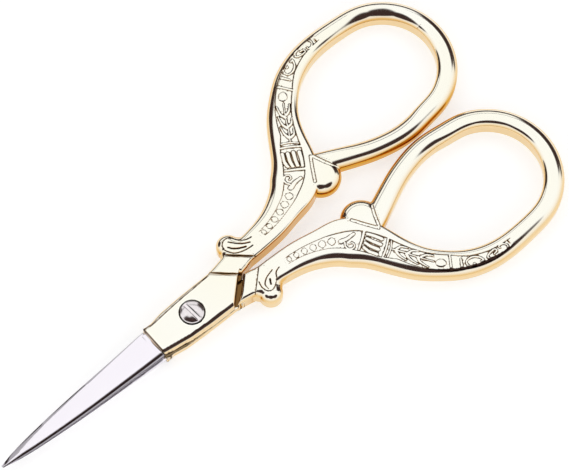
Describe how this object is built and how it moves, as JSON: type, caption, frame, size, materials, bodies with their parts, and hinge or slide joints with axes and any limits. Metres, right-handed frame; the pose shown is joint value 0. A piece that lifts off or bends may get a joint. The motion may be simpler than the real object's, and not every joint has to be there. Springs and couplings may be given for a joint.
{
  "type": "embroidery scissors",
  "caption": "Small embroidery scissors, closed: ground steel blades and gilt cast handles with relief ornament, curls and finger loops, on a slotted pivot screw.",
  "frame": {"origin": "on the pivot axis, in the plane that the closed pair rests on, at the flat tail of the pivot screw", "axes": "+Y from the pivot to the blade tips, +Z along the pivot axis out of the screw's head, +X towards the front half's handle"},
  "size_m": [0.0572, 0.1146, 0.0048],
  "materials": {
    "ground_stainless_steel": "finely ground, bright honed bevel",
    "gilt_cast_metal": "bright pale gold plating over a polished casting",
    "nickel_plated_steel": "bright nickel plating"
  },
  "bodies": {
    "back_half": {"back_blade": "ground_stainless_steel", "back_handle": "gilt_cast_metal", "pivot_screw": "nickel_plated_steel"},
    "front_half": {"front_blade": "ground_stainless_steel", "front_handle": "gilt_cast_metal"}
  },
  "joints": [
    {"name": "pivot", "type": "hinge", "parent": "back_half", "child": "front_half", "pos_m": [0, 0, 0], "axis": [0, 0, 1], "range_deg": [0, 80]}
  ]
}
